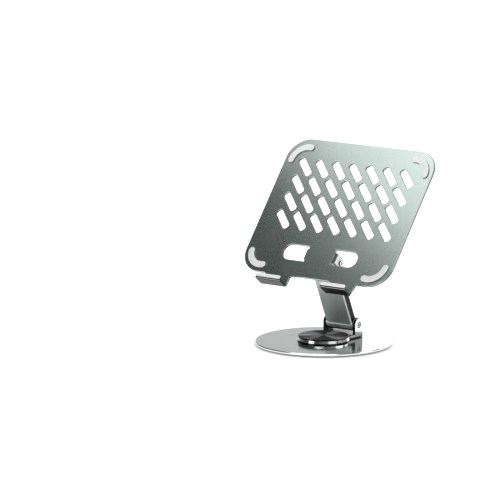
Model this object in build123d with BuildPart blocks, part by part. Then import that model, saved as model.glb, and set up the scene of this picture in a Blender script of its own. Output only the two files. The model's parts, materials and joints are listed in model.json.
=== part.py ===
from build123d import *
from math import cos, radians, sin
import os

# Folding tablet and laptop stand, in millimetres.
# Origin: centre of the round base, on the surface it stands on.
# +Z up, -Y towards the user, +X to the user's right.

# ---------------------------------------------------------------- driving dimensions
running_gap = 0.05        # radial clearance of a shaft in its bore
side_gap = 0.05           # axial clearance between faces that turn on each other

# base
base_radius = 69.0
base_top = 4.0
base_edge_z = 0.8         # underside of the plate's rim
base_chamfer = 0.7
mat_radius = 64.0
mat_thickness = 1.2
mat_seat_radius = 64.2
pivot_well_radius = 9.0
pivot_web_z = 2.8         # underside of the web that carries the pivot

# turntable and its pivot
bracket_z = 4.3           # underside of the turning bracket
bracket_top = 7.8
ring_radius = 26.4
ring_bevel_in = 1.0
ring_bevel_down = 2.4
thrust_washer_radius = 23.4
thrust_washer_hole = 3.5
cap_radius = 25.6
cap_top = 9.5
cap_bevel = 0.5
cap_foot_bevel = 0.4
head_well = 0.5           # clearance around the pivot bolt's head
pivot_radius = 3.0
pivot_head_radius = 6.0
pivot_head_z = 6.3
pivot_socket = 2.0        # half the hex socket's width
pivot_socket_depth = 1.0
lock_nut_half = 5.0       # half the nut's width across flats
spring_height = 0.5       # squeezed height of the pivot's spring washer
spring_rim = 7.4
spring_crown = 6.6
spring_foot = 4.2
spring_sheet = 0.3
edge_break = 0.3          # small chamfer on turned edges

# lower hinge
hinge_y = 33.2
hinge_z = 17.1
ear_radius = 6.7
ear_outer = 20.0
ear_thickness = 2.8
ear_edge_break = 0.25
web_bend_fillet = 1.2     # inside of the bends between web and ears

# hinge pins and screws
pin_radius = 2.6
screw_radius = 1.2
tapping_depth = 6.0
screw_short = 0.5         # screw tip stops short of the tapping's end by this
head_radius = 2.85
head_height = 1.0
head_bevel = 0.35
head_socket = 1.5         # half the hex socket's width
head_socket_depth = 0.7
head_recess = 1.4
recess_radius = 3.1

# arm
arm_length = 73.9         # from one hinge axis to the other
arm_lean = 24.3           # degrees that the line of axes leans forward from upright
arm_half_width = 16.2
arm_front = 6.2           # front face, ahead of the line of axes
arm_thickness = 8.6
lower_barrel_radius = 7.0
upper_barrel_radius = 6.2
arm_bevel = 0.9
bush_wall = 0.9
friction_washer = 0.4
cup_sheet = 0.6           # sheet of the cupped washers beside the arm
cup_step = 0.25

# tray, a bent sheet
tray_angle = 52.2         # degrees above level
sheet = 2.0
bend_mid_radius = 1.5
tray_width = 183.4
tray_height = 156.0
tray_corner = 24.0
front_face = 11.9         # tray's front face, ahead of the upper hinge axis
tray_below_pin = 26.7     # tray's lower edge, below the upper hinge axis
edge_bevel = 0.45

slot_columns = 7
slot_rows = 4
slot_pitch_x = 21.1
slot_pitch_y = 20.6
slot_length = 25.0
slot_width = 7.4
slot_corner = 2.6
slot_grid_y = 66.1        # middle of the slot grid, above the upper hinge axis

tray_ear_outer = 19.0
tray_ear_radius = 5.5
ear_relief = 0.5          # windows start this far inside the ears' inner faces
window_top = 8.6
window_bottom = -8.7
window_end = 45.5

hook_x = 40.2
hook_width = 30.8
hook_drop = 13.0          # outside of the shelf, below the tray's lower edge
hook_depth = 15.5         # outside of the lip, ahead of the tray's back face
lip_length = 5.5
lip_corner = 2.4
hook_root_fillet = 3.0
hook_tab_overlap = 2.0    # how far the hook's tab is drawn into the plate
hook_tab_end = 4.0        # straight part of the tab stops this far above the shelf's outside
liner = 1.2
liner_inset = 2.0         # from each side of the hook
liner_bevel = 0.6
liner_gap = 1.0           # from the tray's front face

pad_arc_radius = 16.5
pad_width = 7.0
pad_height = 1.6
pad_half_sweep = 48.0
pad_crown_fillet = 0.6
pad_from_side = 25.0      # arc centre, from the tray's side
pad_from_top = 26.6       # arc centre of an upper pad, from the tray's upper edge
pad_from_bottom = 24.1    # arc centre of a lower pad, from the tray's lower edge
upper_pad_facing = 49.0   # degrees from level to the middle of the arc
lower_pad_facing = 55.0

# ---------------------------------------------------------------- frames
upper_y = hinge_y - arm_length * sin(radians(arm_lean))
upper_z = hinge_z + arm_length * cos(radians(arm_lean))
back_face = front_face - sheet
tray_mid_y = tray_height / 2 - tray_below_pin

# along_tray points up the tray's slope, off_tray out of its front face
along_tray = (0, cos(radians(tray_angle)), sin(radians(tray_angle)))
down_tray = (0, -cos(radians(tray_angle)), -sin(radians(tray_angle)))
off_tray = (0, -sin(radians(tray_angle)), cos(radians(tray_angle)))
upper_axis = (0, upper_y, upper_z)

tray_plane = Plane(origin=upper_axis, x_dir=(1, 0, 0), z_dir=off_tray)
tray_side = Plane(origin=upper_axis, x_dir=along_tray, z_dir=(1, 0, 0))
tray_section = Plane(origin=upper_axis, x_dir=(1, 0, 0), z_dir=down_tray)

# up_arm points from the lower hinge axis to the upper one
up_arm = (0, -sin(radians(arm_lean)), cos(radians(arm_lean)))
arm_side = Plane(origin=(0, hinge_y, hinge_z), x_dir=up_arm, z_dir=(1, 0, 0))

os.makedirs("parts", exist_ok=True)


def save(builder, name):
    """Label a finished piece and write it as one STEP file."""
    builder.part.label = name
    export_step(builder.part, f"parts/{name}.step")


# ---------------------------------------------------------------- base
with BuildPart() as base_plate:
    with BuildSketch(Plane.XZ):
        with BuildLine():
            Polyline(
                (pivot_radius, pivot_web_z),
                (pivot_well_radius, pivot_web_z),
                (pivot_well_radius, mat_thickness),
                (mat_seat_radius, mat_thickness),
                (mat_seat_radius, base_edge_z),
                (base_radius - base_chamfer / 2, base_edge_z),
                (base_radius, base_edge_z + base_chamfer / 2),
                (base_radius, base_top - base_chamfer),
                (base_radius - base_chamfer, base_top),
                (pivot_radius, base_top),
                close=True,
            )
        make_face()
    revolve(axis=Axis.Z)
save(base_plate, "base_plate")

with BuildPart() as foot_mat:
    Cylinder(mat_radius, mat_thickness, align=(Align.CENTER, Align.CENTER, Align.MIN))
    chamfer(foot_mat.faces().sort_by(Axis.Z)[0].edges(), edge_break)
save(foot_mat, "foot_mat")

# The pivot bolt stays with the base. The bracket turns on it, under its head.
pivot_end_z = mat_thickness + 0.1
pivot_head_top = bracket_top - 0.2
with BuildPart() as pivot_bolt:
    with BuildSketch(Plane.XY.offset(pivot_end_z)):
        Circle(pivot_radius)
    extrude(amount=pivot_head_z - pivot_end_z)
    with BuildSketch(Plane.XY.offset(pivot_head_z)):
        Circle(pivot_head_radius)
    extrude(amount=pivot_head_top - pivot_head_z)
    chamfer(pivot_bolt.edges().filter_by(GeomType.CIRCLE).sort_by(Axis.Z)[-1], edge_break)
    with BuildSketch(Plane.XY.offset(pivot_head_top)):
        RegularPolygon(pivot_socket, 6, major_radius=False)
    extrude(amount=-pivot_socket_depth, mode=Mode.SUBTRACT)
save(pivot_bolt, "pivot_bolt")

with BuildPart() as pivot_spring_washer:
    with BuildSketch(Plane.XZ):
        with BuildLine():
            Polyline(
                (pivot_radius + running_gap, pivot_web_z - spring_height),
                (spring_foot, pivot_web_z - spring_height),
                (spring_rim, pivot_web_z - spring_height + spring_sheet),
                (spring_rim, pivot_web_z),
                (spring_crown, pivot_web_z),
                (pivot_radius + running_gap, pivot_web_z - spring_sheet),
                close=True,
            )
        make_face()
    revolve(axis=Axis.Z)
save(pivot_spring_washer, "pivot_spring_washer")

with BuildPart() as pivot_lock_nut:
    with BuildSketch(Plane.XY.offset(pivot_end_z)):
        RegularPolygon(lock_nut_half, 6, major_radius=False)
        Circle(pivot_radius, mode=Mode.SUBTRACT)
    extrude(amount=pivot_web_z - spring_height - pivot_end_z)
save(pivot_lock_nut, "pivot_lock_nut")

with BuildPart() as thrust_washer:
    with BuildSketch(Plane.XY.offset(base_top)):
        Circle(thrust_washer_radius)
        Circle(thrust_washer_hole, mode=Mode.SUBTRACT)
    extrude(amount=bracket_z - base_top - side_gap)
save(thrust_washer, "thrust_washer")

# ---------------------------------------------------------------- turntable
ear_inner = ear_outer - ear_thickness
ear_back = hinge_y + ear_radius

with BuildPart() as hinge_bracket:
    with BuildSketch(Plane.XZ):
        with BuildLine():
            Polyline(
                (0, bracket_z),
                (ring_radius, bracket_z),
                (ring_radius, bracket_top - ring_bevel_down),
                (ring_radius - ring_bevel_in, bracket_top),
                (0, bracket_top),
                close=True,
            )
        make_face()
    revolve(axis=Axis.Z)
    with BuildSketch(Plane.XY.offset(bracket_z)):
        with Locations((0, ear_back / 2)):
            Rectangle(2 * ear_outer, ear_back)
    extrude(amount=bracket_top - bracket_z)
    for side in (-1, 1):
        with BuildSketch(Plane.YZ.offset(side * ear_inner)):
            with Locations((hinge_y, (bracket_z + hinge_z) / 2)):
                Rectangle(2 * ear_radius, hinge_z - bracket_z)
            with Locations((hinge_y, hinge_z)):
                Circle(ear_radius)
        extrude(amount=side * ear_thickness)
    # inside of each bend, where the web turns up into an ear
    bend_lines = hinge_bracket.edges().filter_by(Axis.Y).filter_by(
        lambda e: abs(abs(e.center().X) - ear_inner) < 0.01 and abs(e.center().Z - bracket_top) < 0.01
    )
    fillet(bend_lines, web_bend_fillet)
    # pivot hole, with a well for the bolt's head
    with BuildSketch(Plane.XY.offset(bracket_z)):
        Circle(pivot_radius + running_gap)
    extrude(amount=bracket_top - bracket_z, mode=Mode.SUBTRACT)
    with BuildSketch(Plane.XY.offset(pivot_head_z - side_gap)):
        Circle(pivot_head_radius + head_well)
    extrude(amount=bracket_top - pivot_head_z + side_gap, mode=Mode.SUBTRACT)
    # hinge holes and the recesses of the screw heads
    with BuildSketch(Plane.YZ.offset(-ear_outer)):
        with Locations((hinge_y, hinge_z)):
            Circle(pin_radius)
    extrude(amount=2 * ear_outer, mode=Mode.SUBTRACT)
    for side in (-1, 1):
        with BuildSketch(Plane.YZ.offset(side * (ear_outer - head_recess))):
            with Locations((hinge_y, hinge_z)):
                Circle(recess_radius)
        extrude(amount=side * head_recess, mode=Mode.SUBTRACT)
    ear_rims = hinge_bracket.edges().filter_by(
        lambda e: abs(abs(e.center().X) - ear_outer) < 0.01 and e.center().Z > bracket_top
    )
    chamfer(ear_rims, ear_edge_break)
save(hinge_bracket, "hinge_bracket")

with BuildPart() as turntable_cap:
    with BuildSketch(Plane.XZ):
        with BuildLine():
            Polyline(
                (0, bracket_top),
                (cap_radius - cap_foot_bevel, bracket_top),
                (cap_radius, bracket_top + cap_foot_bevel),
                (cap_radius, cap_top - cap_bevel),
                (cap_radius - cap_bevel, cap_top),
                (0, cap_top),
                close=True,
            )
        make_face()
    revolve(axis=Axis.Z)
save(turntable_cap, "turntable_cap")


# ---------------------------------------------------------------- hinge hardware
def hinge_pin(origin, half_length):
    """A plain steel pin along X, tapped at both ends for its screws."""
    across = Plane(origin=origin, x_dir=(0, 1, 0), z_dir=(1, 0, 0))
    with BuildPart() as pin:
        with BuildSketch(across.offset(-half_length)):
            Circle(pin_radius)
        extrude(amount=2 * half_length)
        for end in (-1, 1):
            with BuildSketch(across.offset(end * half_length)):
                Circle(screw_radius)
            extrude(amount=-end * tapping_depth, mode=Mode.SUBTRACT)
    return pin


def hinge_screws(origin, half_length, seat):
    """The two button screws that close a hinge pin, one at each end."""
    across = Plane(origin=origin, x_dir=(0, 1, 0), z_dir=(1, 0, 0))
    with BuildPart() as screws:
        for end in (-1, 1):
            with BuildSketch(across.offset(end * seat)):
                Circle(head_radius)
            extrude(amount=end * head_height)
            with BuildSketch(across.offset(end * (half_length - tapping_depth + screw_short))):
                Circle(screw_radius)
            extrude(amount=end * (seat - half_length + tapping_depth - screw_short))
        head_rims = screws.edges().filter_by(GeomType.CIRCLE).filter_by(
            lambda e: abs(abs(e.center().X) - seat - head_height) < 0.01
        )
        chamfer(head_rims, head_bevel)
        for end in (-1, 1):
            with BuildSketch(across.offset(end * (seat + head_height))):
                RegularPolygon(head_socket, 6, major_radius=False)
            extrude(amount=-end * head_socket_depth, mode=Mode.SUBTRACT)
    return screws


def bush(origin, half_length):
    """A plain bearing bush along X, pressed into the arm."""
    across = Plane(origin=origin, x_dir=(0, 1, 0), z_dir=(1, 0, 0))
    with BuildPart() as sleeve:
        with BuildSketch(across.offset(-half_length)):
            Circle(pin_radius + bush_wall)
            Circle(pin_radius + running_gap, mode=Mode.SUBTRACT)
        extrude(amount=2 * half_length)
    return sleeve


def washer_pair(origin, outer_radius, inner_radius, start, thickness):
    """Two flat washers along X, one each side of the arm."""
    across = Plane(origin=origin, x_dir=(0, 1, 0), z_dir=(1, 0, 0))
    with BuildPart() as washers:
        for side in (-1, 1):
            with BuildSketch(across.offset(side * start)):
                Circle(outer_radius)
                Circle(inner_radius, mode=Mode.SUBTRACT)
            extrude(amount=side * thickness)
    return washers


lower_axis = (0, hinge_y, hinge_z)
lower_seat = ear_outer - head_recess
lower_pin_end = lower_seat - 0.1
lower_hinge_pin = hinge_pin(lower_axis, lower_pin_end)
save(lower_hinge_pin, "lower_hinge_pin")
lower_hinge_screws = hinge_screws(lower_axis, lower_pin_end, lower_seat)
save(lower_hinge_screws, "lower_hinge_screws")

# Beside the arm, each side has a friction washer, and outside it a cupped spring washer.
lower_washer_radius = lower_barrel_radius - 0.8
cup_rim = hinge_z + lower_barrel_radius - 1.0
lower_friction_washers = washer_pair(
    lower_axis, lower_washer_radius, pin_radius + 0.1, arm_half_width, friction_washer
)
save(lower_friction_washers, "lower_friction_washers")

spring_start = arm_half_width + friction_washer + side_gap
with BuildPart() as lower_spring_washers:
    for side in (-1, 1):
        with BuildSketch(Plane.XZ.offset(-hinge_y)):
            with BuildLine():
                Polyline(
                    (side * spring_start, cup_rim),
                    (side * spring_start, cup_rim - cup_sheet),
                    (side * (ear_inner - cup_step), hinge_z + pin_radius),
                    (side * ear_inner, hinge_z + pin_radius),
                    (side * ear_inner, hinge_z + pin_radius + cup_sheet),
                    (side * (spring_start + cup_step), cup_rim),
                    close=True,
                )
            make_face()
        revolve(axis=Axis(lower_axis, (1, 0, 0)))
save(lower_spring_washers, "lower_spring_washers")

lower_bush = bush(lower_axis, arm_half_width)
save(lower_bush, "lower_bush")
upper_bush = bush(upper_axis, arm_half_width)
save(upper_bush, "upper_bush")

# The upper pin floats: the arm's bush turns on it, and so do the tray's ears.
tray_ear_inner = tray_ear_outer - sheet
upper_seat = tray_ear_outer + 0.1
upper_pin_end = tray_ear_outer + 0.05
upper_washer_radius = upper_barrel_radius - 0.9
upper_washer = tray_ear_inner - arm_half_width - 2 * side_gap
upper_hinge_pin = hinge_pin(upper_axis, upper_pin_end)
save(upper_hinge_pin, "upper_hinge_pin")
upper_hinge_screws = hinge_screws(upper_axis, upper_pin_end, upper_seat)
save(upper_hinge_screws, "upper_hinge_screws")
upper_friction_washers = washer_pair(
    upper_axis, upper_washer_radius, pin_radius, arm_half_width + side_gap, upper_washer
)
save(upper_friction_washers, "upper_friction_washers")

# ---------------------------------------------------------------- arm
# In arm_side, local X runs from the lower axis to the upper one and local Y out of the front face.
with BuildPart() as arm_bar:
    with BuildSketch(arm_side.offset(-arm_half_width)):
        Circle(lower_barrel_radius)
        with Locations((arm_length, 0)):
            Circle(upper_barrel_radius)
        with Locations((arm_length / 2, arm_front - arm_thickness / 2)):
            Rectangle(arm_length, arm_thickness)
    extrude(amount=2 * arm_half_width)
    long_edges = arm_bar.edges().filter_by(
        lambda e: abs(abs(e.center().X) - arm_half_width) < 0.01 and e.length > arm_length * 0.7
    )
    chamfer(long_edges, arm_bevel)
    for axis_place in ((0, 0), (arm_length, 0)):
        with BuildSketch(arm_side.offset(-arm_half_width)):
            with Locations(axis_place):
                Circle(pin_radius + bush_wall)
        extrude(amount=2 * arm_half_width, mode=Mode.SUBTRACT)
save(arm_bar, "arm_bar")

# ---------------------------------------------------------------- tray
hook_low = -tray_below_pin - hook_drop
lip_face = back_face + hook_depth
window_mid = (window_top + window_bottom) / 2
window_radius = (window_top - window_bottom) / 2
window_centre_x = window_end - window_radius
window_start = tray_ear_inner - ear_relief
ear_root_x = tray_ear_inner - 2.5

with BuildPart() as tray_plate:
    with BuildSketch(tray_plane.offset(back_face)) as outline:
        with Locations((0, tray_mid_y)):
            RectangleRounded(tray_width, tray_height, tray_corner)
        tab_top = -tray_below_pin + hook_tab_overlap
        tab_bottom = hook_low + hook_tab_end
        with Locations((-hook_x, (tab_top + tab_bottom) / 2), (hook_x, (tab_top + tab_bottom) / 2)):
            Rectangle(hook_width, tab_top - tab_bottom)
        roots = outline.vertices().filter_by(
            lambda v: abs(v.Y + tray_below_pin) < 0.01 and abs(v.X) < hook_x + hook_width / 2 + 0.1
        )
        fillet(roots, hook_root_fillet)
        with Locations((0, slot_grid_y)):
            with GridLocations(slot_pitch_x, slot_pitch_y, slot_columns, slot_rows):
                RectangleRounded(slot_length, slot_width, slot_corner, rotation=-45, mode=Mode.SUBTRACT)
        for side in (-1, 1):
            with Locations((side * window_centre_x, window_mid)):
                Circle(window_radius, mode=Mode.SUBTRACT)
            with Locations((side * (window_start + window_centre_x) / 2, window_mid)):
                Rectangle(window_centre_x - window_start, 2 * window_radius, mode=Mode.SUBTRACT)
    extrude(amount=sheet)
    front_edges = tray_plate.faces().sort_by(Axis((0, 0, 0), off_tray))[-1].edges()
    chamfer(front_edges, edge_bevel)
    # ears, bent back from the inner side of each window
    for side in (-1, 1):
        with BuildSketch(tray_section.offset(-tray_ear_radius)):
            with BuildLine() as ear_line:
                FilletPolyline(
                    (side * ear_root_x, front_face - sheet / 2),
                    (side * (tray_ear_outer - sheet / 2), front_face - sheet / 2),
                    (side * (tray_ear_outer - sheet / 2), 0),
                    radius=bend_mid_radius,
                )
            trace(line_width=sheet)
        extrude(amount=2 * tray_ear_radius)
        with BuildSketch(tray_side.offset(side * tray_ear_inner)):
            Circle(tray_ear_radius)
        extrude(amount=side * sheet)
        with BuildSketch(tray_side.offset(side * (tray_ear_inner - 0.5))):
            Circle(pin_radius + running_gap)
        extrude(amount=side * (sheet + 1.0), mode=Mode.SUBTRACT)
    # hooks: a tab, a shelf and a lip
    for side in (-1, 1):
        with BuildSketch(tray_side.offset(side * hook_x - hook_width / 2)):
            with BuildLine() as hook_line:
                FilletPolyline(
                    (hook_low + hook_tab_end + 0.5, front_face - sheet / 2),
                    (hook_low + sheet / 2, front_face - sheet / 2),
                    (hook_low + sheet / 2, lip_face - sheet / 2),
                    (hook_low + lip_length, lip_face - sheet / 2),
                    radius=bend_mid_radius,
                )
            trace(line_width=sheet)
        extrude(amount=hook_width)
    lip_corners = tray_plate.edges().filter_by(Axis((0, 0, 0), off_tray)).filter_by(
        lambda e: abs(tray_side.to_local_coords(e.center()).X - hook_low - lip_length) < 0.01
    )
    fillet(lip_corners, lip_corner)
save(tray_plate, "tray_plate")

# ---------------------------------------------------------------- soft pads
pad_x = tray_width / 2 - pad_from_side
pad_low = -tray_below_pin + pad_from_bottom
pad_high = tray_height - tray_below_pin - pad_from_top
corner_pads = {
    "corner_pad_upper_right": (pad_x, pad_high, upper_pad_facing),
    "corner_pad_upper_left": (-pad_x, pad_high, 180 - upper_pad_facing),
    "corner_pad_lower_left": (-pad_x, pad_low, 180 + lower_pad_facing),
    "corner_pad_lower_right": (pad_x, pad_low, 360 - lower_pad_facing),
}
for pad_name, (centre_x, centre_y, facing) in corner_pads.items():
    with BuildPart() as corner_pad:
        with BuildSketch(tray_plane.offset(front_face)):
            with BuildLine() as pad_line:
                CenterArc(
                    (centre_x, centre_y), pad_arc_radius, facing - pad_half_sweep, 2 * pad_half_sweep
                )
            trace(line_width=pad_width)
            with Locations(pad_line.line @ 0, pad_line.line @ 1):
                Circle(pad_width / 2)
        extrude(amount=pad_height)
        pad_top = corner_pad.faces().sort_by(Axis((0, 0, 0), off_tray))[-1]
        fillet(pad_top.edges(), pad_crown_fillet)
    save(corner_pad, pad_name)

shelf_inner = hook_low + sheet
lip_inner = lip_face - sheet
liner_top = hook_low + lip_length - 0.6
liner_root = front_face + liner_gap
for liner_name, side in (("hook_liner_left", -1), ("hook_liner_right", 1)):
    with BuildPart() as hook_liner:
        with BuildSketch(tray_side.offset(side * hook_x - hook_width / 2 + liner_inset)):
            with BuildLine():
                Polyline(
                    (shelf_inner, liner_root),
                    (shelf_inner, lip_inner - liner_bevel),
                    (shelf_inner + liner_bevel, lip_inner),
                    (liner_top, lip_inner),
                    (liner_top, lip_inner - liner),
                    (shelf_inner + liner, lip_inner - liner),
                    (shelf_inner + liner, liner_root),
                    close=True,
                )
            make_face()
        extrude(amount=hook_width - 2 * liner_inset)
    save(hook_liner, liner_name)
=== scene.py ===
import json
import math

import bmesh
import bpy
from mathutils import Matrix, Vector


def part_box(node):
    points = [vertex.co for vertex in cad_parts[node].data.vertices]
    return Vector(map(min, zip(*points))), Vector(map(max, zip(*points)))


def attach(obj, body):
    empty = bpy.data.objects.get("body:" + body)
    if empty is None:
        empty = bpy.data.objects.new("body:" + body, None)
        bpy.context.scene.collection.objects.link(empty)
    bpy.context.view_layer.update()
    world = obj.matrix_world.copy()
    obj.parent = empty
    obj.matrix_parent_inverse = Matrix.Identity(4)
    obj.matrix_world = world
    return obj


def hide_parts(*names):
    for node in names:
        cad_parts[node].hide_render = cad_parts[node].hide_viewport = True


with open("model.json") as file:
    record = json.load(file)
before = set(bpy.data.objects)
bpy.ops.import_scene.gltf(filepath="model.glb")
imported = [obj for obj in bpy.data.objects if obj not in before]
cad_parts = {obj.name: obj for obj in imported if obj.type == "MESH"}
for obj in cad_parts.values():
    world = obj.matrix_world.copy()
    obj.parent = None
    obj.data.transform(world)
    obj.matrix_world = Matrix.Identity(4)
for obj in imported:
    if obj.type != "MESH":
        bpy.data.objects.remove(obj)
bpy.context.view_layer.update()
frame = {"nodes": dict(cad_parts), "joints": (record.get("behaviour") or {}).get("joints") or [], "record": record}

# ---------------------------------------------------------------- places on the stand
MM = 0.001
ACROSS = Vector((1, 0, 0))
UPWARD = Vector((0, 0, 1))

# The tray's own axes: across (+X), up its slope, and out of its front face.
TRAY_ANGLE = math.radians(52.2)
UP_TRAY = Vector((0, math.cos(TRAY_ANGLE), math.sin(TRAY_ANGLE)))
OFF_TRAY = Vector((0, -math.sin(TRAY_ANGLE), math.cos(TRAY_ANGLE)))
joints = {joint["name"]: joint for joint in frame["joints"]}
upper_axis = Vector(joints["tray_tilt"]["pos_m"])

SHEET = 2.0 * MM             # thickness of the tray's sheet
TRAY_FRONT = 11.9 * MM       # tray's front face, from the upper hinge axis
TRAY_MIDDLE = 51.3 * MM      # middle of the tray, up the slope from that axis
HOOK_SHELF = -39.7 * MM      # outside of the hooks' shelves, up the slope from that axis
LIP_OFF = 11.5 * MM          # inside of the hooks' lips, from the tray's front face
TRAY_EAR_RADIUS = 5.5 * MM   # the tray's ears, about the upper hinge axis
TRAY_EAR_OUTER = 19.0 * MM   # outer faces of the tray's ears
BRACKET_EAR_OUTER = 20.0 * MM
BRACKET_EAR_FOOT = 5.2 * MM  # height where the painted highlight on the turning bracket's ears starts; below it they are painted near black as shade
RING_RADIUS = 26.4 * MM      # the turning bracket's ring
SHADED_RIM_TOP = 2.2 * MM      # height below which the base plate's rim is painted dark as shade


def on_tray(x, up, off):
    """A point in the tray's own axes, measured from the upper hinge axis, in metres."""
    return upper_axis + ACROSS * x + UP_TRAY * up + OFF_TRAY * off


def tray_coords(point):
    """The tray's own coordinates of a point: across, up the slope, and off the axis."""
    offset = point - upper_axis
    return offset.dot(ACROSS), offset.dot(UP_TRAY), offset.dot(OFF_TRAY)


# ---------------------------------------------------------------- node helpers
NOISE_LOW, NOISE_HIGH = 0.3, 0.7    # nearly all of a noise's values lie between these


class Nodes:
    """A small helper that adds shader nodes to one material or world."""

    def __init__(self, owner):
        owner.use_nodes = True
        self.tree = owner.node_tree
        self.tree.nodes.clear()

    def add(self, kind, **settings):
        node = self.tree.nodes.new(kind)
        for key, value in settings.items():
            setattr(node, key, value)
        return node

    def link(self, a, b):
        self.tree.links.new(a, b)

    def value(self, socket, source):
        """Give a socket a plain number or colour, or link another node's output to it."""
        if isinstance(source, (int, float, tuple)):
            socket.default_value = source
        else:
            self.link(source, socket)

    def math(self, operation, a, b=0.0, clamp=False):
        node = self.add("ShaderNodeMath", operation=operation, use_clamp=clamp)
        self.value(node.inputs[0], a)
        self.value(node.inputs[1], b)
        return node.outputs[0]

    def unsigned(self, source):
        """A value without its sign."""
        return self.math("ABSOLUTE", source)

    def minus(self, a, b):
        return self.math("SUBTRACT", a, b)

    def both(self, *masks):
        """A mask that is 1 where all of the masks are."""
        result = masks[0]
        for mask in masks[1:]:
            result = self.math("MULTIPLY", result, mask, clamp=True)
        return result

    def spread(self, source, low, high, to_low=0.0, to_high=1.0):
        """Smooth step of a value: to_low where it is low and to_high where it is high."""
        node = self.add("ShaderNodeMapRange", interpolation_type="SMOOTHSTEP")
        self.link(source, node.inputs["Value"])
        for name, number in (("From Min", low), ("From Max", high), ("To Min", to_low), ("To Max", to_high)):
            node.inputs[name].default_value = number
        return node.outputs["Result"]

    def wander(self, noise, low, high):
        """A number that wanders from low to high with a noise."""
        return self.spread(noise, NOISE_LOW, NOISE_HIGH, low, high)

    def mottle(self, noise, low, high):
        """A colour that wanders from low to high with a noise."""
        return self.colours(self.wander(noise, 0.0, 1.0), low, high)

    def dot(self, source, direction):
        node = self.add("ShaderNodeVectorMath", operation="DOT_PRODUCT")
        self.link(source, node.inputs[0])
        self.value(node.inputs[1], direction)
        return node.outputs["Value"]

    def place(self):
        """The surface's own position, in the object's axes."""
        return self.add("ShaderNodeTexCoord").outputs["Object"]

    def facing(self, direction):
        """How far the surface faces a direction that is fixed on the object: 1 along it, -1 against it."""
        return self.dot(self.add("ShaderNodeTexCoord").outputs["Normal"], tuple(direction))

    def along(self, direction):
        """The surface's place along a direction that is fixed on the object."""
        return self.dot(self.place(), tuple(direction))

    def plan(self):
        """The surface's X, Y and height, in the object's axes."""
        parts = self.add("ShaderNodeSeparateXYZ")
        self.link(self.place(), parts.inputs[0])
        return parts.outputs["X"], parts.outputs["Y"], parts.outputs["Z"]

    def length(self, a, b):
        squares = [self.math("MULTIPLY", side, side) for side in (a, b)]
        return self.math("SQRT", self.math("ADD", *squares))

    def from_centre(self):
        """Distance from the turning axis, and height."""
        x, y, height = self.plan()
        return self.length(x, y), height

    def coords(self, stretch=(1, 1, 1), turn=(0, 0, 0)):
        mapping = self.add("ShaderNodeMapping")
        mapping.inputs["Scale"].default_value = stretch
        mapping.inputs["Rotation"].default_value = turn
        self.link(self.place(), mapping.inputs["Vector"])
        return mapping.outputs["Vector"]

    def noise(self, where, scale, detail=3.0, rough=0.55):
        node = self.add("ShaderNodeTexNoise")
        self.link(where, node.inputs["Vector"])
        node.inputs["Scale"].default_value = scale
        node.inputs["Detail"].default_value = detail
        node.inputs["Roughness"].default_value = rough
        return node.outputs["Fac"]

    def rings(self, radius, scale, detail, rough=0.55, height=None):
        """Noise that depends on the distance from the turning axis, like turning marks."""
        where = self.add("ShaderNodeCombineXYZ")
        self.link(radius, where.inputs[0])
        if height is not None:
            self.link(height, where.inputs[1])
        return self.noise(where.outputs[0], scale, detail, rough)

    def colours(self, factor, low, high):
        node = self.add("ShaderNodeMix", data_type="RGBA")
        self.link(factor, node.inputs["Factor"])
        self.value(node.inputs[6], low)
        self.value(node.inputs[7], high)
        return node.outputs[2]

    def bump(self, height, strength, distance, normal=None):
        node = self.add("ShaderNodeBump")
        node.inputs["Strength"].default_value = strength
        node.inputs["Distance"].default_value = distance
        self.link(height, node.inputs["Height"])
        if normal is not None:
            self.link(normal, node.inputs["Normal"])
        return node.outputs["Normal"]

    def edge(self, radius):
        """Rounded normal and a mask that is 1 on sharp edges and 0 on flat faces."""
        rounded = self.add("ShaderNodeBevel", samples=6)
        rounded.inputs["Radius"].default_value = radius
        flat = self.add("ShaderNodeNewGeometry")
        agree = self.dot(rounded.outputs["Normal"], flat.outputs["Normal"])
        return rounded.outputs["Normal"], self.spread(agree, 0.999, 0.93)

    def surface(self, colour, metallic, roughness, normal=None, ior=1.5):
        """End the material with one shader. Each value is a number, a colour or a node's output."""
        shader = self.add("ShaderNodeBsdfPrincipled")
        shader.inputs["IOR"].default_value = ior
        self.value(shader.inputs["Base Color"], colour)
        self.value(shader.inputs["Metallic"], metallic)
        self.value(shader.inputs["Roughness"], roughness)
        if normal is not None:
            self.link(normal, shader.inputs["Normal"])
        output = self.add("ShaderNodeOutputMaterial")
        self.link(shader.outputs["BSDF"], output.inputs["Surface"])
        return shader


def grey(red, green, blue):
    """A near-grey colour, as linear light."""
    return red, green, blue, 1.0


def tint(colour, factor):
    return tuple(min(1.0, part * factor) for part in colour) + (1.0,)


def new_material(name):
    material = bpy.data.materials.new(name)
    return material, Nodes(material)


# ---------------------------------------------------------------- metals
# A mask's two numbers say where it is 0 and where it is 1. On a facing value, 1 is square on.
def bush_bronze():
    """Bearing bronze, finely blasted, with rubbed edges."""
    material, n = new_material("bush_bronze")
    colour = (0.62, 0.42, 0.20)
    where = n.coords()
    grains = n.noise(where, scale=1500.0, detail=2.0)
    clouds = n.noise(where, scale=9.0, detail=4.0, rough=0.6)
    smudges = n.noise(n.coords(turn=(0.4, 0.2, 0.9)), scale=38.0, detail=5.0, rough=0.7)
    rounded, edges = n.edge(0.35 * MM)
    base = n.colours(n.spread(clouds, 0.35, 0.65), tint(colour, 0.96), tint(colour, 1.03))
    rubbed = n.both(edges, n.spread(smudges, 0.35, 0.6, 0.55, 1.0))
    base = n.colours(rubbed, base, tint(colour, 1.25))
    roughness = n.math("ADD", n.wander(grains, 0.25, 0.34), n.spread(smudges, 0.45, 0.75, 0.0, 0.04))
    n.surface(base, 1.0, roughness, n.bump(grains, 0.12, 0.05 * MM, rounded))
    return material


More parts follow.
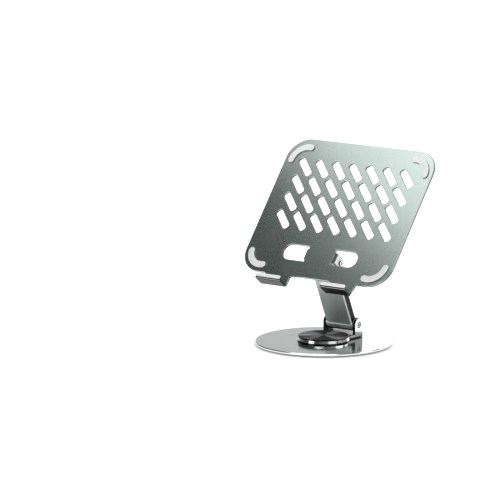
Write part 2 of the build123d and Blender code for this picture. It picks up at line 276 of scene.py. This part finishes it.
def turned_steel(name, colour, rough_low, rough_high):
    """Turned steel: fine rings about X and bright end faces; the sides and the sockets are painted near black as
    shade.
    """
    material, n = new_material(name)
    rings = n.noise(n.coords(stretch=(9000, 900, 900)), scale=1.0, detail=2.0)
    clouds = n.noise(n.coords(), scale=160.0, detail=4.0)
    end_face_tone = n.mottle(clouds, tint(colour, 0.9), tint(colour, 1.05))
    ends = n.spread(n.unsigned(n.facing(ACROSS)), 0.80, 0.95)
    # painted shade: every face but the end faces is near black
    base = n.colours(ends, tint(colour, 0.05), end_face_tone)
    n.surface(base, 1.0, n.wander(rings, rough_low, rough_high), n.bump(rings, 0.08, 0.03 * MM))
    return material


def tray_metal():
    """Bead-blasted tray sheet. Its cut walls, ear edges, ear bends, ear outlines, shelf undersides, hook ends and
    the bends before the lips are painted dark as shade; the lips and a stripe along each of those bends are
    painted bright as light. The ears' outer faces have their own grey.
    """
    material, n = new_material("tray_sheet")
    colour = (0.525, 0.61, 0.58)
    where = n.coords()
    grains = n.noise(where, scale=4200.0, detail=2.0)
    clouds = n.noise(where, scale=7.0, detail=4.0)
    smudges = n.noise(where, scale=24.0, detail=3.0, rough=0.5)
    # places: up the slope and behind the upper hinge axis, and out of the front face
    up = n.minus(n.along(UP_TRAY), upper_axis.dot(UP_TRAY))
    off = n.minus(n.along(OFF_TRAY), upper_axis.dot(OFF_TRAY))
    out = n.minus(off, TRAY_FRONT)
    flat = n.unsigned(n.facing(OFF_TRAY))
    sideways = n.unsigned(n.facing(ACROSS))

    # cut walls of the sheet, from its back face to its front face: painted near black as shade
    in_sheet = n.spread(out, -SHEET - 0.3 * MM, -SHEET + 0.1 * MM)
    above_hooks = n.spread(up, HOOK_SHELF + 5.0 * MM, HOOK_SHELF + 7.0 * MM)
    walls = n.both(n.spread(flat, 0.45, 0.15), in_sheet, above_hooks)

    # the ears that are bent back: their cut edges, bends and outlines are painted dark as shade; their outer faces
    # have their own grey
    behind_sheet = n.spread(out, -SHEET - 0.3 * MM, -SHEET - 0.8 * MM)
    shaded_ear_edges = n.both(n.spread(sideways, 0.75, 0.45), behind_sheet)
    ear_depth = n.spread(out, -SHEET, -SHEET - 1.5 * MM)
    ears = n.both(n.spread(sideways, 0.80, 0.97), ear_depth)
    beside_axis = n.spread(n.unsigned(up), TRAY_EAR_RADIUS + 0.1 * MM, TRAY_EAR_RADIUS)
    from_middle = n.unsigned(n.along(ACROSS))
    between_ears = n.spread(from_middle, TRAY_EAR_OUTER + 0.6 * MM, TRAY_EAR_OUTER + 0.2 * MM)
    shaded_ear_bends = n.both(beside_axis, between_ears, n.spread(sideways, 0.05, 0.25))
    reach = n.length(up, n.math("MINIMUM", off, 0.0))
    shaded_ear_outline = n.spread(reach, TRAY_EAR_RADIUS - 0.8 * MM, TRAY_EAR_RADIUS - 0.3 * MM)

    # the hooks: painted shade on the shelf undersides, the side ends and the bends before the lips, a painted
    # highlight as a stripe along each bend, and painted light on the lips
    at_shelf = n.spread(up, HOOK_SHELF + 3.5 * MM, HOOK_SHELF + 2.0 * MM)
    shaded_shelves = n.both(n.spread(n.facing(UP_TRAY), -0.55, -0.85), at_shelf)
    shaded_hook_ends = n.both(n.spread(sideways, 0.80, 0.95), n.spread(out, 0.5 * MM, 1.0 * MM))
    at_lip = n.spread(out, LIP_OFF - 1.0 * MM, LIP_OFF)
    lips = n.both(at_lip, n.spread(n.facing(OFF_TRAY), 0.93, 0.985))
    shaded_lip_bends = n.both(at_lip, n.spread(flat, 0.97, 0.93), n.spread(flat, 0.10, 0.25))
    glints = n.both(shaded_lip_bends, n.spread(flat, 0.50, 0.56), n.spread(flat, 0.68, 0.62))

    # later layers cover earlier ones
    base = n.colours(n.spread(clouds, 0.35, 0.65), tint(colour, 0.97), tint(colour, 1.02))
    for mask, layer in ((walls, grey(0.030, 0.034, 0.032)),
                        (shaded_ear_edges, grey(0.035, 0.038, 0.037)),
                        (shaded_shelves, grey(0.045, 0.047, 0.043)),
                        (shaded_hook_ends, grey(0.04, 0.042, 0.041)),
                        (shaded_lip_bends, grey(0.03, 0.033, 0.031)),
                        (glints, grey(0.62, 0.65, 0.64)),
                        (shaded_ear_bends, grey(0.10, 0.11, 0.105)),
                        (ears, grey(0.46, 0.49, 0.48)),
                        (n.both(ears, shaded_ear_outline), grey(0.04, 0.042, 0.041)),
                        (lips, grey(0.99, 1.0, 0.995))):
        base = n.colours(mask, base, layer)
    # the lips' painted light is a near-white, barely metallic surface
    metallic = n.spread(lips, 0.0, 1.0, 1.0, 0.05)
    roughness = n.math("ADD", n.wander(grains, 0.262, 0.278), n.spread(smudges, 0.4, 0.7, 0.0, 0.01))
    n.surface(base, metallic, roughness, n.bump(grains, 0.02, 0.01 * MM))
    return material


def arm_metal():
    """Grey anodised bar: brushed front and back, painted shade making the sides near black and the undersides
    dark, and painted highlights on the bevels.
    """
    material, n = new_material("arm_metal")
    strokes = n.noise(n.coords(stretch=(6000, 260, 260)), scale=1.0)
    clouds = n.noise(n.coords(), scale=16.0, detail=2.0)
    sideways = n.unsigned(n.facing(ACROSS))
    sides = n.spread(sideways, 0.85, 0.97)
    bevels = n.both(n.spread(sideways, 0.3, 0.5), n.minus(1.0, sides))
    undersides = n.spread(n.facing(UPWARD), -0.55, -0.70)
    base = n.mottle(clouds, grey(0.72, 0.77, 0.755), grey(0.78, 0.825, 0.81))
    # painted shade on the undersides and sides, painted highlights on the bevels
    for mask, layer in ((undersides, grey(0.05, 0.053, 0.052)),
                        (sides, grey(0.022, 0.023, 0.024)),
                        (bevels, grey(0.92, 0.95, 0.94))):
        base = n.colours(mask, base, layer)
    n.surface(base, 1.0, n.wander(strokes, 0.38, 0.46), n.bump(strokes, 0.05, 0.03 * MM))
    return material


def bracket_metal():
    """Turning bracket: grey web, ears painted bright as highlight, and a brighter bevel on the ring over a wall
    painted black as shade; the other walls are painted near black as shade too.
    """
    material, n = new_material("bracket_metal")
    radius, height = n.from_centre()
    grains = n.noise(n.coords(), scale=1200.0, detail=2.0)
    smudges = n.noise(n.coords(), scale=60.0, detail=4.0, rough=0.65)
    sideways = n.unsigned(n.facing(ACROSS))
    upward = n.facing(UPWARD)
    in_ring = n.spread(radius, RING_RADIUS + 0.4 * MM, RING_RADIUS + 0.1 * MM)
    ring = n.both(in_ring, n.spread(upward, 0.97, 0.85))
    shaded_ring_wall = n.both(ring, n.spread(upward, 0.30, 0.20))
    from_middle = n.unsigned(n.along(ACROSS))
    outermost = n.spread(from_middle, BRACKET_EAR_OUTER - 0.5 * MM, BRACKET_EAR_OUTER - 0.3 * MM)
    above_foot = n.spread(height, BRACKET_EAR_FOOT, BRACKET_EAR_FOOT + 0.4 * MM)
    ears = n.both(outermost, n.spread(sideways, 0.80, 0.95), above_foot)
    shaded_other_walls = n.both(n.spread(upward, 0.90, 0.75), n.minus(1.0, ears))
    base = n.mottle(smudges, grey(0.20, 0.215, 0.21), grey(0.26, 0.28, 0.275))
    # painted shade on the walls and the ring's wall, painted highlight on the ears' outer faces
    for mask, layer in ((shaded_other_walls, grey(0.030, 0.032, 0.031)),
                        (ring, grey(0.55, 0.58, 0.57)),
                        (shaded_ring_wall, grey(0.020, 0.021, 0.021)),
                        (ears, grey(0.93, 0.95, 0.94))):
        base = n.colours(mask, base, layer)
    n.surface(base, 1.0, n.wander(grains, 0.14, 0.20), n.bump(grains, 0.06, 0.04 * MM))
    return material


def base_metal():
    """Polished round plate with faint turning rings. The lower part of its rim is painted dark as shade."""
    material, n = new_material("base_metal")
    colour = (0.84, 0.875, 0.865)
    radius, height = n.from_centre()
    rings = n.rings(radius, scale=1800.0, detail=3.0, height=height)
    clouds = n.noise(n.coords(), scale=14.0, detail=4.0)
    base = n.mottle(clouds, tint(colour, 0.97), tint(colour, 1.02))
    # painted shade on the lower part of the rim
    rim = n.spread(height, SHADED_RIM_TOP, SHADED_RIM_TOP - 0.5 * MM)
    base = n.colours(rim, base, grey(0.16, 0.17, 0.17))
    roughness = n.math("ADD", n.wander(rings, 0.10, 0.16), n.spread(clouds, 0.4, 0.8, 0.0, 0.04))
    n.surface(base, 1.0, roughness, n.bump(rings, 0.05, 0.02 * MM))
    return material


def cap_metal():
    """Dark spun-brushed disc with circular grain, four soft rays painted on as highlights, and its side wall
    painted near black as shade.
    """
    material, n = new_material("cap_metal")
    ray_turn = math.radians(8.0)
    x, y, _ = n.plan()
    rings = n.rings(n.length(x, y), scale=2600.0, detail=4.0, rough=0.7)
    angle = n.math("ADD", n.math("ARCTAN2", y, x), ray_turn)
    rays = n.unsigned(n.math("COSINE", n.math("MULTIPLY", angle, 2.0)))
    base = n.mottle(rings, grey(0.025, 0.027, 0.027), grey(0.055, 0.058, 0.058))
    # painted highlight: four soft rays at fixed angles about the axis
    base = n.colours(n.spread(rays, 0.72, 1.0), base, grey(0.25, 0.262, 0.262))
    # painted shade on the side wall
    walls = n.spread(n.facing(UPWARD), 0.5, 0.3)
    base = n.colours(walls, base, grey(0.018, 0.018, 0.018))
    shader = n.surface(base, 1.0, n.wander(rings, 0.40, 0.48), n.bump(rings, 0.10, 0.03 * MM))
    shader.inputs["Anisotropic"].default_value = 1.0
    shader.inputs["Anisotropic Rotation"].default_value = 0.25
    tangent = n.add("ShaderNodeTangent", direction_type="RADIAL", axis="Z")
    n.link(tangent.outputs["Tangent"], shader.inputs["Tangent"])
    return material


# ---------------------------------------------------------------- soft and plastic
def silicone(name, colour, rough=0.55, dust=0.06, crown=None):
    """Fine matt silicone. With a crown direction, the side walls are painted darker than the crown, as shade."""
    material, n = new_material(name)
    grain = n.noise(n.coords(), scale=2200.0, detail=2.0)
    clouds = n.noise(n.coords(), scale=90.0, detail=4.0, rough=0.65)
    specks = n.spread(n.noise(n.coords(), scale=700.0, detail=1.0), 0.66, 0.74)
    base = n.mottle(clouds, tint(colour, 0.93), tint(colour, 1.05))
    base = n.colours(n.math("MULTIPLY", specks, dust), base, grey(0.8, 0.8, 0.78))
    if crown is not None:
        # painted shade on the side walls
        base = n.colours(n.spread(n.facing(crown), 0.35, 0.10), base, tint(colour, 0.06))
    roughness = n.wander(clouds, rough - 0.06, rough + 0.08)
    shader = n.surface(base, 0.0, roughness, n.bump(grain, 0.25, 0.04 * MM), ior=1.42)
    shader.inputs["Sheen Weight"].default_value = 0.12
    return material


def nylon():
    """Natural nylon of the washers."""
    material, n = new_material("washer_nylon")
    clouds = n.noise(n.coords(), scale=240.0, detail=4.0)
    base = n.mottle(clouds, grey(0.80, 0.79, 0.73), grey(0.90, 0.89, 0.84))
    n.surface(base, 0.0, n.wander(clouds, 0.38, 0.5), n.bump(clouds, 0.15, 0.05 * MM), ior=1.53)
    return material


materials = {
    "tray_sheet": tray_metal(),
    "arm_metal": arm_metal(),
    "bracket_metal": bracket_metal(),
    "base_metal": base_metal(),
    "cap_metal": cap_metal(),
    "steel_hardware": turned_steel("steel_hardware", (0.70, 0.71, 0.72), 0.16, 0.26),
    "spring_steel": turned_steel("spring_steel", (0.30, 0.31, 0.33), 0.25, 0.38),
    "bush_bronze": bush_bronze(),
    "washer_nylon": nylon(),
    "pad_silicone": silicone("pad_silicone", (0.85, 0.86, 0.85), rough=0.42, crown=OFF_TRAY),
    "liner_silicone": silicone("liner_silicone", (0.07, 0.072, 0.073)),
    "foot_rubber": silicone("foot_rubber", (0.022, 0.022, 0.024), rough=0.6, dust=0.12),
}
for part in frame["record"]["subparts"]:
    for holder in frame["nodes"][part["node"]].material_slots:
        holder.material = materials[part["material_slot"]]


# ---------------------------------------------------------------- mesh helpers
def new_object(name, data):
    obj = bpy.data.objects.new(name, data)
    bpy.context.scene.collection.objects.link(obj)
    return obj


def replace_node(node, suffix, build, slot_name, body):
    """Put a finished mesh in a CAD node's place, on its body and with its material."""
    obj = new_object(node + suffix, to_mesh(build, node + suffix))
    for polygon in obj.data.polygons:
        polygon.use_smooth = True
    obj.data.materials.append(materials[slot_name])
    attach(obj, body)
    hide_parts(node)


def to_mesh(build, name):
    mesh = bpy.data.meshes.new(name)
    build.to_mesh(mesh)
    build.free()
    return mesh


def loft(rings):
    """A closed solid through rings of equally many points."""
    build = bmesh.new()
    rows = [[build.verts.new(point) for point in ring] for ring in rings]
    count = len(rows[0])
    for a, b in zip(rows, rows[1:]):
        for i in range(count):
            j = (i + 1) % count
            build.faces.new((a[i], a[j], b[j], b[i]))
    build.faces.new(list(reversed(rows[0])))
    build.faces.new(rows[-1])
    bmesh.ops.recalc_face_normals(build, faces=build.faces)
    return build


def lathe(profile, steps):
    """A closed solid that is a profile of (radius, height) turned about the Z axis."""
    build = bmesh.new()
    rows = []
    for i in range(steps):
        angle = 2 * math.pi * i / steps
        rows.append([build.verts.new((r * math.cos(angle), r * math.sin(angle), z)) for r, z in profile])
    for i in range(steps):
        a, b = rows[i], rows[(i + 1) % steps]
        for k in range(len(profile) - 1):
            build.faces.new((a[k], b[k], b[k + 1], a[k + 1]))
    build.faces.new([row[0] for row in rows])
    build.faces.new([row[-1] for row in reversed(rows)])
    bmesh.ops.recalc_face_normals(build, faces=build.faces)
    return build


def tray_box(node):
    """The CAD node's extent in the tray's own axes: lowest and highest (x, up, off)."""
    mesh_object = frame["nodes"][node]
    spots = [tray_coords(mesh_object.matrix_world @ vertex.co) for vertex in mesh_object.data.vertices]
    return Vector(map(min, zip(*spots))), Vector(map(max, zip(*spots)))


# ---------------------------------------------------------------- corner pads
PAD_RADIUS = 16.5 * MM
PAD_HALF_WIDTH = 3.5 * MM
PAD_HALF_SWEEP = math.radians(48.0)
PAD_ARC_STEPS = 40
PAD_END_STEPS = 14
# (inset from the side wall in mm, share of the height) from the bottom to the crown
PAD_PROFILE = ((0.10, 0.0), (0.0, 0.06), (0.0, 0.50), (0.05, 0.66), (0.16, 0.80), (0.32, 0.90), (0.60, 0.95),
               (1.1, 0.975), (1.9, 0.992), (2.7, 1.0), (3.3, 1.0))
# the way each pad's arc faces, in degrees about the tray's front
PAD_FACING = {"corner_pad_upper_right": 49, "corner_pad_upper_left": 131,
              "corner_pad_lower_left": 235, "corner_pad_lower_right": 305}


def arc(middle, radius, start, sweep, steps):
    """Points of an arc on the tray, with both of its ends."""
    angles = [start + sweep * i / steps for i in range(steps + 1)]
    return [(middle[0] + radius * math.cos(a), middle[1] + radius * math.sin(a)) for a in angles]


def pad_outline(centre, facing, half_width, height):
    """Closed outline of a band that follows an arc and has round ends."""
    start, end = facing - PAD_HALF_SWEEP, facing + PAD_HALF_SWEEP
    sweep = end - start
    end_middle = arc(centre, PAD_RADIUS, end, 0.0, 1)[0]
    start_middle = arc(centre, PAD_RADIUS, start, 0.0, 1)[0]
    outline = arc(centre, PAD_RADIUS + half_width, start, sweep, PAD_ARC_STEPS)
    outline += arc(end_middle, half_width, end, math.pi, PAD_END_STEPS)[1:-1]
    outline += arc(centre, PAD_RADIUS - half_width, end, -sweep, PAD_ARC_STEPS)
    outline += arc(start_middle, half_width, start + math.pi, math.pi, PAD_END_STEPS)[1:-1]
    return [on_tray(x, y, height) for x, y in outline]


for node, facing_degrees in PAD_FACING.items():
    low, high = tray_box(node)
    facing = math.radians(facing_degrees)
    # where the arc's centre lies, from the box of the same outline drawn about (0, 0)
    trial = [tray_coords(point) for point in pad_outline((0.0, 0.0), facing, PAD_HALF_WIDTH, 0.0)]
    centre = (low.x - min(spot[0] for spot in trial), low.y - min(spot[1] for spot in trial))
    rings = [pad_outline(centre, facing, PAD_HALF_WIDTH - inset * MM, low.z + (high.z - low.z) * share)
             for inset, share in PAD_PROFILE]
    replace_node(node, "_moulded", loft(rings), "pad_silicone", "tray")

# ---------------------------------------------------------------- hook liners
LINER = 1.2 * MM
LINER_EDGE = 0.3 * MM        # bevel on the liner's free edges
OUTER_BEND = 0.6 * MM        # outside of the bend between shelf and lip
OUTER_BEND_MIDDLE = 0.18 * MM
INNER_BEND_UP = 0.5 * MM     # inside of the same bend
INNER_BEND_SHELF = 0.1 * MM
INNER_BEND_OFF = 0.15 * MM
RIB_CLEARANCE = 0.8 * MM     # from the lip's inside to the first groove
RIBS = 4
# one groove and rib: (share of the pitch, mm below the shelf's top)
RIB_PROFILE = ((0.0, 0.35), (0.25, 0.35), (0.4, 0.05), (0.55, 0.0), (0.75, 0.0), (0.9, 0.05))
# rounding of the liner's ends: (mm from the end, share of the section's size)
LINER_ENDS = ((0.0, 0.94), (0.15, 0.985), (0.5, 1.0))


def liner_section(low, high):
    """Outline of a liner as (up, off): a shelf with ribs, and a lip."""
    shelf_top = low.y + LINER
    lip_inside = high.z - LINER
    section = [(low.y, low.z), (low.y, high.z - OUTER_BEND),
               (low.y + OUTER_BEND_MIDDLE, high.z - OUTER_BEND_MIDDLE), (low.y + OUTER_BEND, high.z),
               (high.y - LINER_EDGE, high.z), (high.y, high.z - LINER_EDGE),
               (high.y, lip_inside + LINER_EDGE), (high.y - LINER_EDGE, lip_inside),
               (shelf_top + INNER_BEND_UP, lip_inside),
               (shelf_top + INNER_BEND_SHELF, lip_inside - INNER_BEND_OFF)]
    first = lip_inside - RIB_CLEARANCE
    pitch = (first - low.z) / RIBS
    for k in range(RIBS):
        section += [(shelf_top - depth * MM, first - pitch * (k + share)) for share, depth in RIB_PROFILE]
    return section + [(shelf_top - LINER_EDGE, low.z)]


for node in ("hook_liner_left", "hook_liner_right"):
    low, high = tray_box(node)
    section = liner_section(low, high)
    middle_up = sum(up for up, off in section) / len(section)
    middle_off = sum(off for up, off in section) / len(section)
    stations = [(low.x + inset * MM, share) for inset, share in LINER_ENDS]
    stations.append(((low.x + high.x) / 2, 1.0))
    stations += [(high.x - inset * MM, share) for inset, share in reversed(LINER_ENDS)]
    rings = [[on_tray(x, middle_up + (up - middle_up) * share, middle_off + (off - middle_off) * share)
              for up, off in section] for x, share in stations]
    replace_node(node, "_ribbed", loft(rings), "liner_silicone", "tray")

# ---------------------------------------------------------------- foot mat
MAT_HUB = 0.5                # radius of the small flat where the turned profile ends, in mm
MAT_TOP_BEVEL = 0.25
# round lower edge: (mm in from the side, mm above the table)
MAT_LOWER_EDGE = ((0.0, 0.45), (0.13, 0.13), (0.45, 0.0))
GROOVE_RADII = (50.0, 38.0, 26.0, 14.0)
GROOVE_HALF_WIDTH = 1.2
# one side of a groove: (mm out from its half width, mm above the table)
GROOVE_SIDE = ((0.3, 0.0), (0.0, 0.12), (-0.2, 0.4))
MAT_STEPS = 180


def mat_profile(radius, top):
    """The mat's section from the middle of its top, round its edge, and back along its grooved foot."""
    profile = [(MAT_HUB, top), (radius - MAT_TOP_BEVEL, top), (radius, top - MAT_TOP_BEVEL)]
    profile += [(radius - inset, height) for inset, height in MAT_LOWER_EDGE]
    for groove in GROOVE_RADII:
        profile += [(groove + GROOVE_HALF_WIDTH + beyond, height) for beyond, height in GROOVE_SIDE]
        profile += [(groove - GROOVE_HALF_WIDTH - beyond, height) for beyond, height in reversed(GROOVE_SIDE)]
    profile.append((MAT_HUB, 0.0))
    return [(r * MM, height * MM) for r, height in profile]


_, mat_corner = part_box("foot_mat")
mat = lathe(mat_profile(mat_corner.x / MM, mat_corner.z / MM), MAT_STEPS)
replace_node("foot_mat", "_ribbed", mat, "foot_rubber", "base")

# ---------------------------------------------------------------- floor
FLOOR_HALF = 14.0
FLOOR_CELLS = 8
FLOOR_NEAR, FLOOR_FAR = 0.08, 0.40    # painted light: the paper glows, and more strongly away from the stand
GLOW_NEAR, GLOW_FAR = 0.40, 1.0
build = bmesh.new()
bmesh.ops.create_grid(build, x_segments=FLOOR_CELLS, y_segments=FLOOR_CELLS, size=FLOOR_HALF)
floor = new_object("floor", to_mesh(build, "floor"))
floor_material, n = new_material("floor_paper")
fibres = n.noise(n.coords(), scale=60.0, detail=4.0)
shader = n.surface(n.mottle(fibres, grey(0.88, 0.88, 0.88), grey(0.90, 0.90, 0.90)), 0.0, 0.9)
shader.inputs["Emission Color"].default_value = (1.0, 1.0, 1.0, 1.0)
distance, _ = n.from_centre()
n.link(n.spread(distance, FLOOR_NEAR, FLOOR_FAR, GLOW_NEAR, GLOW_FAR), shader.inputs["Emission Strength"])
floor.data.materials.append(floor_material)

# ---------------------------------------------------------------- world
LIT_WALL = (-0.6, 0.8, 0.0)           # towards the wall behind the stand
WALL_LIGHT = grey(0.80, 0.82, 0.82)
ROOM_LIGHT = grey(0.30, 0.31, 0.31)
CEILING_LEFT = grey(0.02, 0.024, 0.022)
CEILING_RIGHT = grey(0.22, 0.235, 0.23)
world = bpy.data.worlds.new("studio")
bpy.context.scene.world = world
n = Nodes(world)
direction = n.add("ShaderNodeTexCoord").outputs["Generated"]
on_wall = n.spread(n.dot(direction, LIT_WALL), 0.45, 0.90)
horizon = n.colours(on_wall, ROOM_LIGHT, WALL_LIGHT)
to_right = n.spread(n.dot(direction, tuple(ACROSS)), 0.0, 0.6)
ceiling = n.colours(to_right, CEILING_LEFT, CEILING_RIGHT)
to_ceiling = n.spread(n.dot(direction, tuple(UPWARD)), 0.05, 0.45)
background = n.add("ShaderNodeBackground")
n.link(n.colours(to_ceiling, horizon, ceiling), background.inputs["Color"])
background.inputs["Strength"].default_value = 1.0
world_output = n.add("ShaderNodeOutputWorld")
n.link(background.outputs["Background"], world_output.inputs["Surface"])

# ---------------------------------------------------------------- camera
CAMERA_AZIMUTH = math.radians(37.691)
CAMERA_ELEVATION = math.radians(10.187)
CAMERA_DISTANCE = 3.680
CAMERA_SHIFT_RIGHT = 0.073947
CAMERA_SHIFT_UP = -0.094854
SENSOR_WIDTH = 36.0          # mm
LENS = 263.1024              # mm
back = Vector((math.sin(CAMERA_AZIMUTH) * math.cos(CAMERA_ELEVATION),
               -math.cos(CAMERA_AZIMUTH) * math.cos(CAMERA_ELEVATION), math.sin(CAMERA_ELEVATION)))
right = Vector((math.cos(CAMERA_AZIMUTH), math.sin(CAMERA_AZIMUTH), 0.0))
up = back.cross(right)


def stand_at(obj, place, x_axis, z_axis):
    """Place an object so that its X and Z axes point along two directions at right angles."""
    axes = Matrix((x_axis, z_axis.cross(x_axis), z_axis)).transposed().to_4x4()
    obj.matrix_world = Matrix.Translation(place) @ axes


camera_data = bpy.data.cameras.new("camera")
camera_data.sensor_width = SENSOR_WIDTH
camera_data.lens = LENS
camera = new_object("camera", camera_data)
stand_at(camera, back * CAMERA_DISTANCE - right * CAMERA_SHIFT_RIGHT - up * CAMERA_SHIFT_UP, right, back)
bpy.context.scene.camera = camera


# ---------------------------------------------------------------- lights
def softbox(name, centre, towards, size, radiance, side_hint=None):
    """A soft rectangular light. Its power follows from how bright its face is."""
    data = bpy.data.lights.new(name, "AREA")
    data.shape = "RECTANGLE"
    data.size, data.size_y = size
    data.energy = radiance * math.pi * size[0] * size[1]
    light = new_object(name, data)
    out = (centre - towards).normalized()
    side = (UPWARD.cross(out) if side_hint is None else side_hint).normalized()
    side = (side - out * side.dot(out)).normalized()
    stand_at(light, centre, side, out)
    light.visible_camera = False


# The key light is seen in the tray, as in a mirror: its edge crosses the tray on a slant.
KEY_DISTANCE = 0.70
KEY_SIZE = (1.1, 1.65)
KEY_EDGE = 0.050
tray_middle = on_tray(0.0, TRAY_MIDDLE, TRAY_FRONT)
mirror = 2 * OFF_TRAY.dot(back) * OFF_TRAY - back
slant = (right + up).normalized()
slant = (slant - mirror * slant.dot(mirror)).normalized()
key_place = tray_middle + mirror * KEY_DISTANCE + slant * (KEY_EDGE + KEY_SIZE[0] / 2)
softbox("key", key_place, towards=key_place - mirror, size=KEY_SIZE, radiance=1.6, side_hint=slant)

# The back light is seen in the polished base: its left edge shows as a soft step across it.
BACK_DISTANCE = 0.9
BACK_RIGHT = 0.56
BACK_RAISE = 0.25
base_mirror = Vector((-back.x, -back.y, back.z))
back_place = base_mirror * BACK_DISTANCE + right * BACK_RIGHT + UPWARD * BACK_RAISE
softbox("back", back_place, towards=back_place - base_mirror, size=(1.0, 0.9), radiance=1.25)

softbox("top", Vector((1.3, 1.2, 1.5)), towards=Vector((0, 0, 0)), size=(1.2, 1.2), radiance=2.0)
softbox("front", Vector((-0.45, -1.15, 0.45)), towards=Vector((0, 0, 0.05)), size=(0.5, 0.5), radiance=3.0)
softbox("right", Vector((1.6, -0.3, 0.8)), towards=Vector((0, 0, 0.08)), size=(1.0, 1.2), radiance=1.2)

bpy.context.scene.view_settings.view_transform = "Standard"
